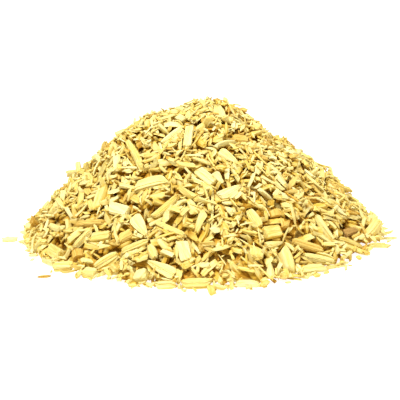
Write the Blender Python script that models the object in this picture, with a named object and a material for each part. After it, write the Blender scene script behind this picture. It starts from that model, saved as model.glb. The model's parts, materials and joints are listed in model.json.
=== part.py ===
"""A loose heap of chopped quassia wood, lying on a table.

The heap is a skewed cone with a rounded top. Its thousands of small chips are one solid, the chip mass, with
a skin of chips that lie side by side and lean every way. The larger chips lie in that skin, each a solid of its
own in a socket of the mass, and a few stray chips lie loose on the table beside it.

Metres, +Z up, the table at z = 0. The front is towards -Y.
"""

import math
import random

import bmesh
import bpy
from mathutils import Matrix, Vector, noise
from mathutils.geometry import delaunay_2d_cdt

MM = 0.001

# The heap
HEAP_HEIGHT = 58.0 * MM
BASE_RADIUS = 78.5 * MM
APEX_SHIFT = 5.0 * MM  # the top stands this far to the right of the base's centre
LEFT_ROUNDNESS = 1.62  # 1 is a straight cone, 2 a dome
RIGHT_ROUNDNESS = 1.36
SHOULDER_HEIGHT = 3.6 * MM  # the bulge high on the left flank
SHOULDER_PLACE = (-30.0 * MM, 4.0 * MM)
SHOULDER_SPREAD = 13.0 * MM
BASE_LOBE = 0.022  # how far the foot's outline wanders, as a share of its radius
LUMP_HEIGHT = 1.3 * MM
LUMP_SPACING = 17.0 * MM

# The small chips in the surface of the mass: strips of the triangles between scattered points
SCATTERED_POINTS = 410
FOOT_POINTS = 60
INNERMOST_FOOT = 0.965  # scattered points stay this far in, as a share of the way from the top to the foot
POINT_WANDER = 0.22  # how far a point strays from its even place, as a share of the spacing
SAME_POINT = 1e-7
LONGEST_STRIP = 4  # triangles
SEAM_DEPTH = 1.0 * MM  # the seams between the chips lie this far under the slope
SEAM_WIDTH = 0.7 * MM
SURFACE_LIFTS = (-0.4 * MM, 1.9 * MM)  # how far the middle of a chip's top stands off the slope
SURFACE_TILT = 0.26  # the steepest a chip leans out of the slope, as a rise over a run
LOWEST_TOP = 0.5 * MM  # no chip at the foot is flatter

# The larger chips, each a piece of its own
GAP = 0.3 * MM  # between a chip and the mass around it
OPEN_OVER = 6.0 * MM  # no small chip lies over a larger one within this height
SINK = 0.10  # how far a chip's middle lies under the slope, as a share of its thickness
LONGEST_STRETCH = 1.5  # a chip seen end on is at most this much longer than it looks
SLOPE_REACH = 3.5 * MM  # the slope is measured over this distance

# Where the eye stands that the front chips' places are told from: over the table, from the heap's middle
EYE_DISTANCE = 0.60
EYE_ELEVATION = math.radians(16.0)

WOODS = {
    "pale_wood": ((0.93, 0.83, 0.50), 0.72),
    "yellow_wood": ((0.88, 0.70, 0.33), 0.70),
    "tan_wood": ((0.70, 0.48, 0.19), 0.74),
    "bark": ((0.36, 0.23, 0.10), 0.85),
    "chip_mass": ((0.86, 0.68, 0.31), 0.75),
}


# Outlines of a chip's cross-section, across and up, in halves of its width and thickness
SPLIT_OUTLINE = ((-1.0, -0.5), (-0.3, -1.0), (0.8, -0.9), (1.0, 0.2), (0.2, 1.0), (-0.8, 0.7))
BLOCK_OUTLINE = (
    (-1.0, -0.8), (-0.8, -1.0), (0.9, -1.0), (1.0, -0.7), (0.95, 0.8), (0.8, 1.0), (-0.9, 0.95), (-1.0, 0.7),
)
SLAB_OUTLINE = (
    (-1.0, -0.3), (-0.6, -1.0), (0.6, -1.0), (1.0, -0.3), (0.7, 0.6), (0.3, 1.0), (-0.1, 0.7), (-0.4, 0.95),
)
FLAKE_OUTLINE = ((-1.0, -0.4), (-0.1, -1.0), (1.0, -0.7), (0.8, 0.5), (-0.2, 1.0), (-0.9, 0.6))
BARK_OUTLINE = (
    (-1.0, -1.0), (-0.62, -0.35), (0.0, -0.05), (0.62, -0.35), (1.0, -1.0),
    (0.95, -0.25), (0.5, 0.72), (0.0, 1.0), (-0.5, 0.72), (-0.95, -0.25),
)
SPLINTER_OUTLINE = ((-1.0, -0.6), (0.4, -1.0), (1.0, 0.5), (-0.3, 1.0))

# Along the grain from -0.5 to 0.5, with the share of its full width, and of its thickness where that differs
FLAKE_TAPER = (
    (-0.5, 0.70, 0.60), (-0.38, 1.00, 1.00), (-0.05, 0.86, 0.84), (0.3, 0.52, 0.55), (0.5, 0.20, 0.28),
)
SPLINTER_TAPER = ((-0.5, 0.18), (-0.32, 0.75), (-0.08, 1.0), (0.2, 0.88), (0.4, 0.55), (0.5, 0.15))

SAWN_EDGE = 0.5 * MM  # how far a block's ends are worn round
SLAB_SECTIONS = 6
SHAVING_SECTIONS = 8
TWIG_SIDES = 10
TWIG_RIM = 0.25 * MM
PITH_SHARE = 0.34  # the pith's width in a twig's
PITH_FLOOR_SHARE = 0.27
PITH_DEPTH = 0.5 * MM


def clear_scene():
    for thing in list(bpy.data.objects):
        bpy.data.objects.remove(thing)


def wood(name):
    """The material of that name, made at its first use."""
    made = bpy.data.materials.get(name)
    if made:
        return made
    colour, roughness = WOODS[name]
    made = bpy.data.materials.new(name)
    made.use_nodes = True
    shader = made.node_tree.nodes["Principled BSDF"]
    shader.inputs["Base Color"].default_value = (*colour, 1.0)
    shader.inputs["Roughness"].default_value = roughness
    shader.inputs["Metallic"].default_value = 0.0
    return made


def foot_distance(angle):
    """From under the top to the edge of the foot, in this direction. The foot is a circle with lobes."""
    across, along = math.cos(angle), math.sin(angle)
    to_circle = -APEX_SHIFT * across + math.sqrt(BASE_RADIUS**2 - (APEX_SHIFT * along) ** 2)
    lobes = math.sin(3.0 * angle + 0.6) + 0.7 * math.sin(5.0 * angle + 2.1)
    return to_circle * (1.0 + BASE_LOBE * lobes)


def heap_height(x, y):
    """The height of the heap's slope over a place on the table, and 0 outside its foot."""
    from_top = math.hypot(x - APEX_SHIFT, y)
    angle = math.atan2(y, x - APEX_SHIFT)
    share = from_top / foot_distance(angle)
    if share >= 1.0:
        return 0.0
    to_right = 0.5 + 0.5 * math.cos(angle)
    roundness = LEFT_ROUNDNESS + (RIGHT_ROUNDNESS - LEFT_ROUNDNESS) * to_right
    height = HEAP_HEIGHT * (1.0 - share**roundness)
    shoulder = math.hypot(x - SHOULDER_PLACE[0], y - SHOULDER_PLACE[1]) / SHOULDER_SPREAD
    height += SHOULDER_HEIGHT * math.exp(-(shoulder**2))
    lump = noise.noise(Vector((x, y, 0.0)) / LUMP_SPACING + Vector((3.7, 1.3, 0.5)))
    return max(0.0, height + LUMP_HEIGHT * 2.0 * lump * (1.0 - share**4))


def slope_normal(x, y):
    reach = SLOPE_REACH
    fall_x = (heap_height(x - reach, y) - heap_height(x + reach, y)) / (2.0 * reach)
    fall_y = (heap_height(x, y - reach) - heap_height(x, y + reach)) / (2.0 * reach)
    return Vector((fall_x, fall_y, 1.0)).normalized()


def eye():
    return Vector((0.0, -math.cos(EYE_ELEVATION), math.sin(EYE_ELEVATION))) * EYE_DISTANCE


def seen_at(across, up):
    """The place on the heap or the table that is seen this far across and up from the middle of the foot."""
    in_plane = Vector((across, up * math.sin(EYE_ELEVATION), up * math.cos(EYE_ELEVATION)))
    ray = (in_plane - eye()).normalized()
    step = 0.2 * MM
    place = eye() + ray * (EYE_DISTANCE - 2.0 * BASE_RADIUS)
    while place.z > heap_height(place.x, place.y):
        place += ray * step
    return place


def lying_as_seen(place, angle, length):
    """(turn, length) of a chip on the slope whose grain looks turned by angle and which looks this long."""
    normal = slope_normal(place.x, place.y)
    view = (place - eye()).normalized()
    right = Vector((1.0, 0.0, 0.0))
    upward = right.cross(view).normalized()
    looks = right * math.cos(angle) + upward * math.sin(angle)
    along = looks - view * (looks.dot(normal) / view.dot(normal))
    nearer = EYE_DISTANCE / (place - eye()).length
    return along.normalized(), length / nearer * min(along.length, LONGEST_STRETCH)


def frame_on(place, along, normal, pitch=0.0, roll=0.0):
    """A matrix with X along the grain, Z off the slope, leaned by pitch and roll in degrees."""
    grain = (along - normal * along.dot(normal)).normalized()
    turned = Matrix((grain, normal.cross(grain), normal)).transposed().to_4x4()
    lean = Matrix.Rotation(math.radians(pitch), 4, "Y") @ Matrix.Rotation(math.radians(roll), 4, "X")
    return Matrix.Translation(place) @ turned @ lean


def loft(sections):
    """A closed mesh through cross-sections with the same number of points, with a face on each end."""
    shape = bmesh.new()
    rings = [[shape.verts.new(point) for point in section] for section in sections]
    count = len(rings[0])
    for first, second in zip(rings, rings[1:]):
        for i in range(count):
            shape.faces.new((first[i], first[(i + 1) % count], second[(i + 1) % count], second[i]))
    shape.faces.new(list(reversed(rings[0])))
    shape.faces.new(rings[-1])
    bmesh.ops.recalc_face_normals(shape, faces=shape.faces)
    bmesh.ops.triangulate(shape, faces=shape.faces)
    return shape


def section(x, outline, width, thickness, side=0.0, lift=0.0, slant=(0.0, 0.0)):
    """One cross-section at x along the grain. slant moves its sides and its top along the grain."""
    return [
        Vector((
            x + across * slant[0] + up * slant[1],
            side + across * width / 2.0,
            lift + up * thickness / 2.0,
        ))
        for across, up in outline
    ]


def uneven(outline, rng, amount):
    return [(a + rng.uniform(-amount, amount), u + rng.uniform(-amount, amount)) for a, u in outline]


def split_chip(length, width, thickness, rng):
    """Split along the grain, broken obliquely at both ends, a little bent."""
    outline = uneven(SPLIT_OUTLINE, rng, 0.14)
    bend = rng.uniform(-0.05, 0.07) * length
    ends = [rng.uniform(0.55, 0.85), rng.uniform(0.5, 0.8)]
    slants = [(rng.uniform(-0.25, 0.25) * width, rng.uniform(-0.3, 0.3) * thickness) for _ in ends]
    shares = ((-0.5, ends[0]), (-0.36, 0.95), (0.02, 1.03), (0.34, 0.92), (0.5, ends[1]))
    sections = []
    for i, (at, full) in enumerate(shares):
        slant = slants[0] if i == 0 else slants[1] if i == len(shares) - 1 else (0.0, 0.0)
        drop = bend * (4.0 * at * at - 0.5)
        sections.append(section(
            at * length, outline, width * full, thickness * full,
            side=rng.uniform(-0.05, 0.05) * width, lift=-drop, slant=slant,
        ))
    return loft(sections)


def block_chip(length, width, thickness, rng):
    """A squarish chunk with sawn ends and worn edges."""
    outline = uneven(BLOCK_OUTLINE, rng, 0.05)
    edge = min(SAWN_EDGE, 0.12 * length)
    slant = (rng.uniform(-0.2, 0.2) * width, rng.uniform(-0.15, 0.15) * thickness)
    half = length / 2.0
    return loft([
        section(-half, outline, width * 0.84, thickness * 0.80, slant=slant),
        section(edge - half, outline, width, thickness, slant=slant),
        section(half - edge, outline, width * 0.97, thickness * 0.96, side=0.03 * width),
        section(half, outline, width * 0.80, thickness * 0.78, side=0.03 * width),
    ])


def oval_slab(length, width, thickness, rng):
    """A thick slice cut slantwise, oval from above, with two grooves along its crown."""
    outline = uneven(SLAB_OUTLINE, rng, 0.04)
    sections = []
    for i in range(SLAB_SECTIONS):
        at = -0.5 + i / (SLAB_SECTIONS - 1)
        round_off = math.sqrt(max(0.0, 1.0 - (1.86 * at) ** 2))
        sections.append(section(
            at * length, outline, width * (0.3 + 0.7 * round_off), thickness * (0.55 + 0.45 * round_off),
        ))
    return loft(sections)


def twig_slice(length, width, thickness, rng):
    """A short piece of a thin branch, with the pith sunk in both ends."""
    outline = []
    for i in range(TWIG_SIDES):
        turn, wobble = 2.0 * math.pi * i / TWIG_SIDES, 1.0 + rng.uniform(-0.06, 0.06)
        outline.append((wobble * math.cos(turn), wobble * math.sin(turn)))
    half = length / 2.0

    def ring(x, share, inset=0.0):
        return section(x, outline, width * share - 2.0 * inset, thickness * share - 2.0 * inset)

    return loft([
        ring(PITH_DEPTH - half, PITH_FLOOR_SHARE),
        ring(-half, PITH_SHARE),
        ring(-half, 1.0, TWIG_RIM),
        ring(TWIG_RIM - half, 1.0),
        ring(half - TWIG_RIM, 0.98),
        ring(half, 0.98, TWIG_RIM),
        ring(half, PITH_SHARE),
        ring(half - PITH_DEPTH, PITH_FLOOR_SHARE),
    ])


def bark_chip(length, width, thickness, rng):
    """A piece from under the bark, curved like the branch that it came off."""
    outline = uneven(BARK_OUTLINE, rng, 0.05)
    half = length / 2.0
    return loft([
        section(-half, outline, width * 0.82, thickness * 0.85, slant=(0.2 * width, 0.0)),
        section(-0.3 * length, outline, width, thickness),
        section(0.25 * length, outline, width * 1.02, thickness * 0.95),
        section(half, outline, width * 0.72, thickness * 0.75, slant=(-0.15 * width, 0.1 * thickness)),
    ])


def wedge_flake(length, width, thickness, rng):
    """A flake from an axe cut: wide and thick at one end, thin and pointed at the other."""
    outline = uneven(FLAKE_OUTLINE, rng, 0.10)
    drift = rng.uniform(-0.16, 0.16) * width
    return loft([
        section(at * length, outline, width * wide, thickness * thick, side=drift * (at + 0.4) * 2.0)
        for at, wide, thick in FLAKE_TAPER
    ])


def curled_shaving(length, width, thickness, rng):
    """A strip that curls up at both ends along its length."""
    outline = uneven(FLAKE_OUTLINE, rng, 0.08)
    curl = rng.uniform(0.13, 0.18) * length
    sections = []
    for i in range(SHAVING_SECTIONS):
        at = -0.5 + i / (SHAVING_SECTIONS - 1)
        full = 1.0 - 0.45 * abs(2.0 * at) ** 3
        sections.append(section(
            at * length, outline, width * full, thickness * full,
            lift=curl * (4.0 * at * at - 0.4), slant=(0.0, -1.6 * at * thickness),
        ))
    return loft(sections)


def long_splinter(length, width, thickness, rng):
    """A needle of wood, pointed at both ends and slightly bowed."""
    outline = uneven(SPLINTER_OUTLINE, rng, 0.12)
    bow = rng.uniform(-0.035, 0.035) * length
    return loft([
        section(at * length, outline, width * full, thickness * full, side=bow * (1.0 - 4.0 * at * at))
        for at, full in SPLINTER_TAPER
    ])


# Each of these is told as it is seen from the eye: name, form, wood, how far across and up its middle is from
# the middle of the heap's foot, how long it looks, its width and thickness, all in millimetres, and the angle
# that its grain makes with the level, in degrees.
FRONT_CHIPS = (
    ("ridged_oval_slab", oval_slab, "pale_wood", -42.4, -12.4, 11.8, 6.2, 3.6, 30),
    ("block_beside_slab", block_chip, "yellow_wood", -44.6, -1.6, 8.0, 4.2, 3.2, 8),
    ("leaning_split_chip", split_chip, "yellow_wood", -52.6, -2.0, 10.8, 3.6, 2.6, 46),
    ("pointed_block", wedge_flake, "pale_wood", -26.4, 4.0, 9.4, 6.6, 3.6, -42),
    ("grey_block", block_chip, "tan_wood", -33.6, -1.4, 6.6, 4.2, 3.0, 24),
    ("long_split_chip", split_chip, "yellow_wood", -29.6, -6.0, 13.0, 3.8, 2.8, 20),
    ("small_oval_chip", oval_slab, "pale_wood", -21.6, -8.2, 6.4, 4.2, 2.8, -68),
    ("upright_block", block_chip, "pale_wood", -7.2, -8.4, 8.2, 5.0, 3.2, -76),
    ("three_cornered_flake", wedge_flake, "pale_wood", -17.4, -15.6, 13.6, 5.8, 3.0, 154),
    ("cube_chip", block_chip, "yellow_wood", -26.6, -22.0, 5.2, 5.0, 4.2, 12),
    ("front_flat_chip", split_chip, "pale_wood", -15.8, -24.9, 8.6, 3.8, 2.2, 2),
    ("front_flat_slab", split_chip, "yellow_wood", -1.4, -23.8, 12.8, 5.0, 2.4, 1),
    ("low_flat_block", block_chip, "pale_wood", -61.6, -17.2, 8.4, 4.4, 2.6, 2),
    ("twig_end", twig_slice, "tan_wood", -55.2, -9.8, 4.0, 5.2, 5.0, -80),
    ("rough_chunk", block_chip, "yellow_wood", -65.4, -8.6, 7.2, 5.2, 3.6, -34),
    ("small_front_block", block_chip, "pale_wood", -49.6, -20.2, 5.0, 4.4, 3.2, -10),
    ("curved_strip", curled_shaving, "yellow_wood", -64.0, 2.4, 11.0, 3.8, 2.0, -16),
    ("reddish_split_chip", split_chip, "tan_wood", -50.4, 4.6, 12.6, 3.2, 2.4, 12),
    ("slanting_long_chip", split_chip, "yellow_wood", -15.6, 12.0, 14.6, 3.6, 2.8, 38),
    ("crossing_long_chip", split_chip, "pale_wood", -13.4, 2.0, 13.6, 3.0, 2.6, -24),
    ("chalky_block", block_chip, "pale_wood", -36.6, 10.4, 7.6, 5.2, 3.4, -12),
    ("great_slab", split_chip, "yellow_wood", -22.4, 22.4, 15.0, 6.0, 3.4, 12),
    ("broad_slab", block_chip, "yellow_wood", -64.8, 12.0, 10.4, 6.0, 2.8, 78),
    ("leaf_shaped_chip", oval_slab, "pale_wood", 24.8, 6.8, 9.0, 4.8, 2.6, -60),
    ("white_splinter", long_splinter, "pale_wood", 5.4, 11.4, 17.0, 1.3, 1.2, 89),
    ("bright_wedge", wedge_flake, "pale_wood", 13.4, 19.4, 10.4, 5.4, 3.2, 34),
    ("ringed_twig_slice", twig_slice, "tan_wood", 34.4, 8.6, 3.8, 6.0, 5.6, -70),
    ("falling_slab", split_chip, "yellow_wood", 56.4, 2.2, 12.6, 3.8, 2.8, -52),
    ("flat_split_chip", oval_slab, "yellow_wood", 53.6, -11.4, 13.2, 4.2, 2.6, -15),
    ("long_sliced_chip", split_chip, "tan_wood", 48.4, -5.4, 13.8, 4.0, 2.8, -20),
    ("standing_slab", split_chip, "pale_wood", 39.6, -12.0, 11.4, 5.6, 3.4, -66),
    ("toe_slab", split_chip, "yellow_wood", 51.4, -17.6, 10.6, 3.8, 2.6, 3),
    ("pale_blade", wedge_flake, "pale_wood", 33.4, -4.4, 7.6, 3.6, 2.2, 20),
    ("round_chunk", block_chip, "yellow_wood", 32.4, 0.4, 7.4, 5.4, 3.8, 8),
    ("bark_piece", bark_chip, "bark", 67.6, 0.8, 6.6, 4.4, 2.8, 14),
    ("right_foot_chip", split_chip, "yellow_wood", 68.4, -4.8, 11.6, 3.2, 2.4, -23),
    ("upper_leaf_chip", oval_slab, "pale_wood", -12.8, 44.0, 11.4, 4.2, 2.4, 37),
    ("upright_pale_chip", block_chip, "pale_wood", -5.0, 43.4, 8.8, 3.6, 2.6, 80),
    ("broad_flake", wedge_flake, "pale_wood", 13.2, 34.6, 9.6, 6.0, 2.8, -36),
    ("slanting_block", block_chip, "pale_wood", 2.6, 25.2, 8.8, 4.6, 3.0, -42),
    ("long_curved_chip", curled_shaving, "yellow_wood", -29.2, 34.8, 12.6, 3.4, 2.2, -65),
    ("orange_chunk", block_chip, "tan_wood", 18.0, 42.2, 6.6, 4.2, 3.0, -6),
    ("front_right_chip", split_chip, "pale_wood", 21.6, -24.4, 10.6, 3.8, 2.2, 2),
)

# On the table, told in the same way
STRAY_CHIPS = (
    ("left_stray_chip", oval_slab, "pale_wood", -85.6, -3.8, 6.4, 3.8, 1.9, 12),
    ("right_stray_flake", wedge_flake, "yellow_wood", 81.4, 1.2, 6.0, 3.4, 1.7, -8),
    ("right_stray_splinter", long_splinter, "pale_wood", 85.4, -3.0, 6.6, 1.7, 1.4, 4),
    ("right_stray_chip", split_chip, "yellow_wood", 80.6, -6.6, 8.6, 3.2, 1.8, -10),
    ("front_left_stray_splinter", long_splinter, "tan_wood", -70.0, -20.2, 5.6, 1.6, 1.3, 16),
)

# Round the sides and the back, in a spiral that climbs the slope
BACK_FORMS = (split_chip, block_chip, oval_slab, wedge_flake, split_chip, curled_shaving)
BACK_WOODS = ("yellow_wood", "pale_wood", "pale_wood", "yellow_wood", "tan_wood")
BACK_CHIPS = 11
BACK_FROM, BACK_TO = math.radians(8.0), math.radians(172.0)
BACK_LOWEST, BACK_HIGHEST = 0.34, 0.88  # distance from the top, as a share of the way to the foot
BACK_CLIMB = 0.618  # each chip climbs by this share of that stretch, and starts again at its end
BACK_SIZES = ((9.0 * MM, 14.0 * MM), (4.2 * MM, 6.0 * MM), (2.8 * MM, 3.6 * MM))


def chip_object(name, shape, kind):
    mesh = bpy.data.meshes.new(name)
    shape.to_mesh(mesh)
    made = bpy.data.objects.new(name, mesh)
    made.data.materials.append(wood(kind))
    bpy.context.scene.collection.objects.link(made)
    return made


def lift_clear_of_table(made):
    """Raises a chip whose lowest corner would be under the table."""
    lowest = min((made.matrix_world @ corner.co).z for corner in made.data.vertices)
    if lowest < 0.0:
        made.matrix_world = Matrix.Translation((0.0, 0.0, -lowest)) @ made.matrix_world


def add_front_chip(row, rng):
    name, form, kind, across, up, looks_long, width, thickness, angle = row
    place = seen_at(across * MM, up * MM)
    along, length = lying_as_seen(place, math.radians(angle), looks_long * MM)
    normal = slope_normal(place.x, place.y)
    centre = place - normal * (SINK * thickness * MM)
    pose = frame_on(centre, along, normal, rng.uniform(-6.0, 6.0), rng.uniform(-7.0, 7.0))
    made = chip_object(name, form(length, width * MM, thickness * MM, rng), kind)
    made.matrix_world = pose
    lift_clear_of_table(made)
    return made


def add_stray_chip(row, rng):
    name, form, kind, across, up, length, width, thickness, angle = row
    place = seen_at(across * MM, up * MM)
    along = Vector((math.cos(math.radians(angle)), math.sin(math.radians(angle)), 0.0))
    made = chip_object(name, form(length * MM, width * MM, thickness * MM, rng), kind)
    pose = frame_on(Vector((place.x, place.y, -thickness * MM)), along, Vector((0.0, 0.0, 1.0)))
    made.matrix_world = pose
    lift_clear_of_table(made)
    return made


def add_back_chip(index, rng):
    share = index / (BACK_CHIPS - 1)
    angle = BACK_FROM + (BACK_TO - BACK_FROM) * share
    climb = (index * BACK_CLIMB) % 1.0
    from_top = (BACK_LOWEST + (BACK_HIGHEST - BACK_LOWEST) * climb) * foot_distance(angle)
    x, y = APEX_SHIFT + from_top * math.cos(angle), from_top * math.sin(angle)
    normal = slope_normal(x, y)
    turn = rng.uniform(0.0, math.pi)
    along = Vector((math.cos(turn), math.sin(turn), 0.0))
    length, width, thickness = (rng.uniform(*sizes) for sizes in BACK_SIZES)
    centre = Vector((x, y, heap_height(x, y))) - normal * (SINK * thickness)
    form, kind = BACK_FORMS[index % len(BACK_FORMS)], BACK_WOODS[index % len(BACK_WOODS)]
    made = chip_object(f"back_chip_{index + 1:02d}", form(length, width, thickness, rng), kind)
    made.matrix_world = frame_on(centre, along, normal, rng.uniform(-8.0, 8.0), rng.uniform(-8.0, 8.0))
    lift_clear_of_table(made)
    return made


def hidden_tool(name, shape):
    """A mesh that only cuts, and isn't part of the heap itself."""
    mesh = bpy.data.meshes.new(name)
    shape.to_mesh(mesh)
    made = bpy.data.objects.new(name, mesh)
    made.hide_render = True
    made.display_type = "WIRE"
    bpy.context.scene.collection.objects.link(made)
    return made


def scattered_on_disc(rng):
    """Points of the unit disc, evenly spread and slightly out of order, and then points round its rim."""
    golden = math.pi * (3.0 - math.sqrt(5.0))
    spacing = math.sqrt(math.pi / SCATTERED_POINTS)
    points = []
    for i in range(SCATTERED_POINTS):
        reach, turn = math.sqrt((i + 0.5) / SCATTERED_POINTS) * INNERMOST_FOOT, i * golden
        point = Vector((reach * math.cos(turn), reach * math.sin(turn)))
        point += Vector((rng.uniform(-1.0, 1.0), rng.uniform(-1.0, 1.0))) * (POINT_WANDER * spacing)
        points.append(point if point.length < INNERMOST_FOOT else point.normalized() * INNERMOST_FOOT)
    for i in range(FOOT_POINTS):
        turn = 2.0 * math.pi * i / FOOT_POINTS
        points.append(Vector((math.cos(turn), math.sin(turn))))
    return points


def seam_corner(point):
    """Where a point of the unit disc lies, in the seams between the chips, or on the table at the foot."""
    angle = math.atan2(point.y, point.x)
    from_top = foot_distance(angle) * point.length
    x, y = APEX_SHIFT + from_top * math.cos(angle), from_top * math.sin(angle)
    if point.length > (1.0 + INNERMOST_FOOT) / 2.0:
        return Vector((x, y, 0.0))
    return Vector((x, y, heap_height(x, y))) - slope_normal(x, y) * SEAM_DEPTH


def edges_of(triangle):
    return [frozenset((triangle[k], triangle[(k + 1) % 3])) for k in range(3)]


def strips_of(triangles, rng):
    """The triangles in straight strips, each strip the outline of one chip."""
    beside = {}
    for number, triangle in enumerate(triangles):
        for edge in edges_of(triangle):
            beside.setdefault(edge, []).append(number)
    order = list(range(len(triangles)))
    rng.shuffle(order)
    free, strips = set(order), []
    for first in order:
        if first not in free:
            continue
        free.discard(first)
        strip, entered, pivot = [first], None, None
        while len(strip) < LONGEST_STRIP:
            ways = []
            for edge in edges_of(triangles[strip[-1]]):
                across = [number for number in beside[edge] if number in free]
                if edge != entered and pivot not in edge and across:
                    ways.append((edge, across[0]))
            if not ways:
                break
            edge, number = rng.choice(ways)
            turned_on = entered & edge if entered else frozenset()
            pivot = next(iter(turned_on), None)
            entered = edge
            free.discard(number)
            strip.append(number)
        strips.append([triangles[number] for number in strip])
    return strips


def outline_of(strip):
    """The corners round a strip of triangles, in the order in which each triangle runs."""
    follows = {}
    for triangle in strip:
        for k in range(3):
            start, end = triangle[k], triangle[(k + 1) % 3]
            if any((end, start) == (t[m], t[(m + 1) % 3]) for t in strip for m in range(3)):
                continue
            follows[start] = end
    corner = next(iter(follows))
    loop = [corner]
    while follows[loop[-1]] != corner:
        loop.append(follows[loop[-1]])
    return loop


def lay_chip_top(face, rng):
    """Flattens a chip's top, lifts it off the slope and leans it. It stays over its own cell."""
    normal, middle = face.normal.copy(), face.calc_center_median()
    lift = rng.uniform(*SURFACE_LIFTS)
    side = normal.orthogonal().normalized()
    lean = side * rng.uniform(-SURFACE_TILT, SURFACE_TILT)
    lean += normal.cross(side) * rng.uniform(-SURFACE_TILT, SURFACE_TILT)
    for corner in face.verts:
        offset = corner.co - middle
        offset -= normal * offset.dot(normal)
        corner.co = middle + offset + normal * (SEAM_DEPTH + lift + offset.dot(lean))
        corner.co.z = max(corner.co.z, LOWEST_TOP)


def heap_body():
    """The mass: a flat underside, and over it a skin of small chips that cover the slope side by side."""
    rng = random.Random(19)
    points = scattered_on_disc(rng)
    triangles = [list(face) for face in delaunay_2d_cdt(points, [], [], 0, SAME_POINT)[2]]
    shape = bmesh.new()
    corners = [shape.verts.new(seam_corner(point)) for point in points]
    chips = [
        shape.faces.new([corners[number] for number in outline_of(strip)])
        for strip in strips_of(triangles, rng)
    ]
    shape.faces.new(list(reversed(corners[SCATTERED_POINTS:])))
    bmesh.ops.recalc_face_normals(shape, faces=shape.faces)
    bmesh.ops.inset_individual(shape, faces=chips, thickness=SEAM_WIDTH, use_even_offset=True)
    shape.normal_update()
    for chip in chips:
        lay_chip_top(chip, rng)
    bmesh.ops.triangulate(shape, faces=shape.faces)
    return shape


def socket(made):
    """The block of room for a larger chip in the mass, with the gap on all sides and nothing over it."""
    corners = [corner.co for corner in made.data.vertices]
    low = Vector([min(c[i] for c in corners) - GAP for i in range(3)])
    high = Vector([max(c[i] for c in corners) + GAP for i in range(3)])
    high.z += OPEN_OVER
    shape = bmesh.new()
    bmesh.ops.create_cube(shape, size=1.0)
    to_size = Matrix.Translation((low + high) / 2.0) @ Matrix.Diagonal((*(high - low), 1.0))
    shape.transform(made.matrix_world @ to_size)
    return shape


def add_chip_mass(larger):
    mass = chip_object("chip_mass", heap_body(), "chip_mass")
    sockets = bmesh.new()
    for made in larger:
        shape = socket(made)
        cut = bpy.data.meshes.new("socket")
        shape.to_mesh(cut)
        shape.free()
        sockets.from_mesh(cut)
        bpy.data.meshes.remove(cut)
    cutting = mass.modifiers.new("sockets", "BOOLEAN")
    cutting.operation = "DIFFERENCE"
    cutting.solver = "EXACT"
    cutting.use_self = True
    cutting.object = hidden_tool("sockets", sockets)


def centre_on_origin():
    """Puts the origin under the middle of the box round all the pieces."""
    bpy.context.view_layer.update()
    shown = [thing for thing in bpy.data.objects if not thing.hide_render]
    corners = [thing.matrix_world @ corner.co for thing in shown for corner in thing.data.vertices]
    middle_x = (min(c.x for c in corners) + max(c.x for c in corners)) / 2.0
    middle_y = (min(c.y for c in corners) + max(c.y for c in corners)) / 2.0
    for thing in bpy.data.objects:
        thing.matrix_world = Matrix.Translation((-middle_x, -middle_y, 0.0)) @ thing.matrix_world


def main():
    clear_scene()
    rng = random.Random(7)
    larger = [add_front_chip(row, rng) for row in FRONT_CHIPS]
    larger += [add_back_chip(index, rng) for index in range(BACK_CHIPS)]
    larger += [add_stray_chip(row, rng) for row in STRAY_CHIPS]
    bpy.context.view_layer.update()
    add_chip_mass(larger)
    centre_on_origin()


main()
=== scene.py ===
"""The looks of a loose heap of chopped quassia wood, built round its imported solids.

The heap's mass is replaced by thousands of separate chips that are dropped on one another until they fill its
form. Each larger chip is rebuilt finely from its own solid, with ridges along the grain, cracks and broken
ends.
"""

import json
import math

import bpy
import numpy as np
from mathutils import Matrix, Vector
from mathutils.bvhtree import BVHTree


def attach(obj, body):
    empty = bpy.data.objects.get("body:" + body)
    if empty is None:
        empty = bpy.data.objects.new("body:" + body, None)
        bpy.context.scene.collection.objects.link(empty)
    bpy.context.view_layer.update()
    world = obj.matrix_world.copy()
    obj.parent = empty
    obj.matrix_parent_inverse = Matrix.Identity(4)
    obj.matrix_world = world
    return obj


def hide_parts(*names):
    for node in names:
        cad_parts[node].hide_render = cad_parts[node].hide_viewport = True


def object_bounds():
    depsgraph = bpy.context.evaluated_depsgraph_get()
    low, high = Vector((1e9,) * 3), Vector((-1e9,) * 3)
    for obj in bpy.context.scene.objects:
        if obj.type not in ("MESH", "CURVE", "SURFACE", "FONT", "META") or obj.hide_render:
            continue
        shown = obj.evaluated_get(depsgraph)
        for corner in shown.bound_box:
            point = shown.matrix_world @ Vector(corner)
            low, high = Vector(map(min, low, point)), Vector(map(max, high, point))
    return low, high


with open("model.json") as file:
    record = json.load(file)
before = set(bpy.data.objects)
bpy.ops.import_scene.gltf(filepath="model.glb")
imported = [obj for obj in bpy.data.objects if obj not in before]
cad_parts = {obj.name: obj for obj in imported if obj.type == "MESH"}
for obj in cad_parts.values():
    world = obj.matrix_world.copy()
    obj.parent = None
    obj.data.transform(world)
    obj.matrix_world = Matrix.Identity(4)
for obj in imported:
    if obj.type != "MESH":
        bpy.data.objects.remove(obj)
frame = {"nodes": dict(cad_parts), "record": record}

CAD_BOX = [list(corner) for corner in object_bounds()]
MM = 0.001
RNG = np.random.default_rng(611)

# The photograph's view: from the front and slightly above
PICTURE = 400  # pixels a side
EYE_DISTANCE = 0.60
EYE_ELEVATION = math.radians(16.0)
LENS, SENSOR = 120.0, 36.0
MM_PER_PIXEL = 0.45
FOOT_BELOW_MIDDLE = 33  # pixels from the middle of the picture down to the middle of the heap's foot
FOOT_MIDDLE = (-0.08 * MM, 2.72 * MM)  # where the middle of the foot lies, with the strays left out

# The height map that the chips are dropped on
CELL = 0.5 * MM
MARGIN = 14.0 * MM
COARSE = 2  # the solids are measured on every second cell
SMOOTHING = 3.0 * MM

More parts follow.
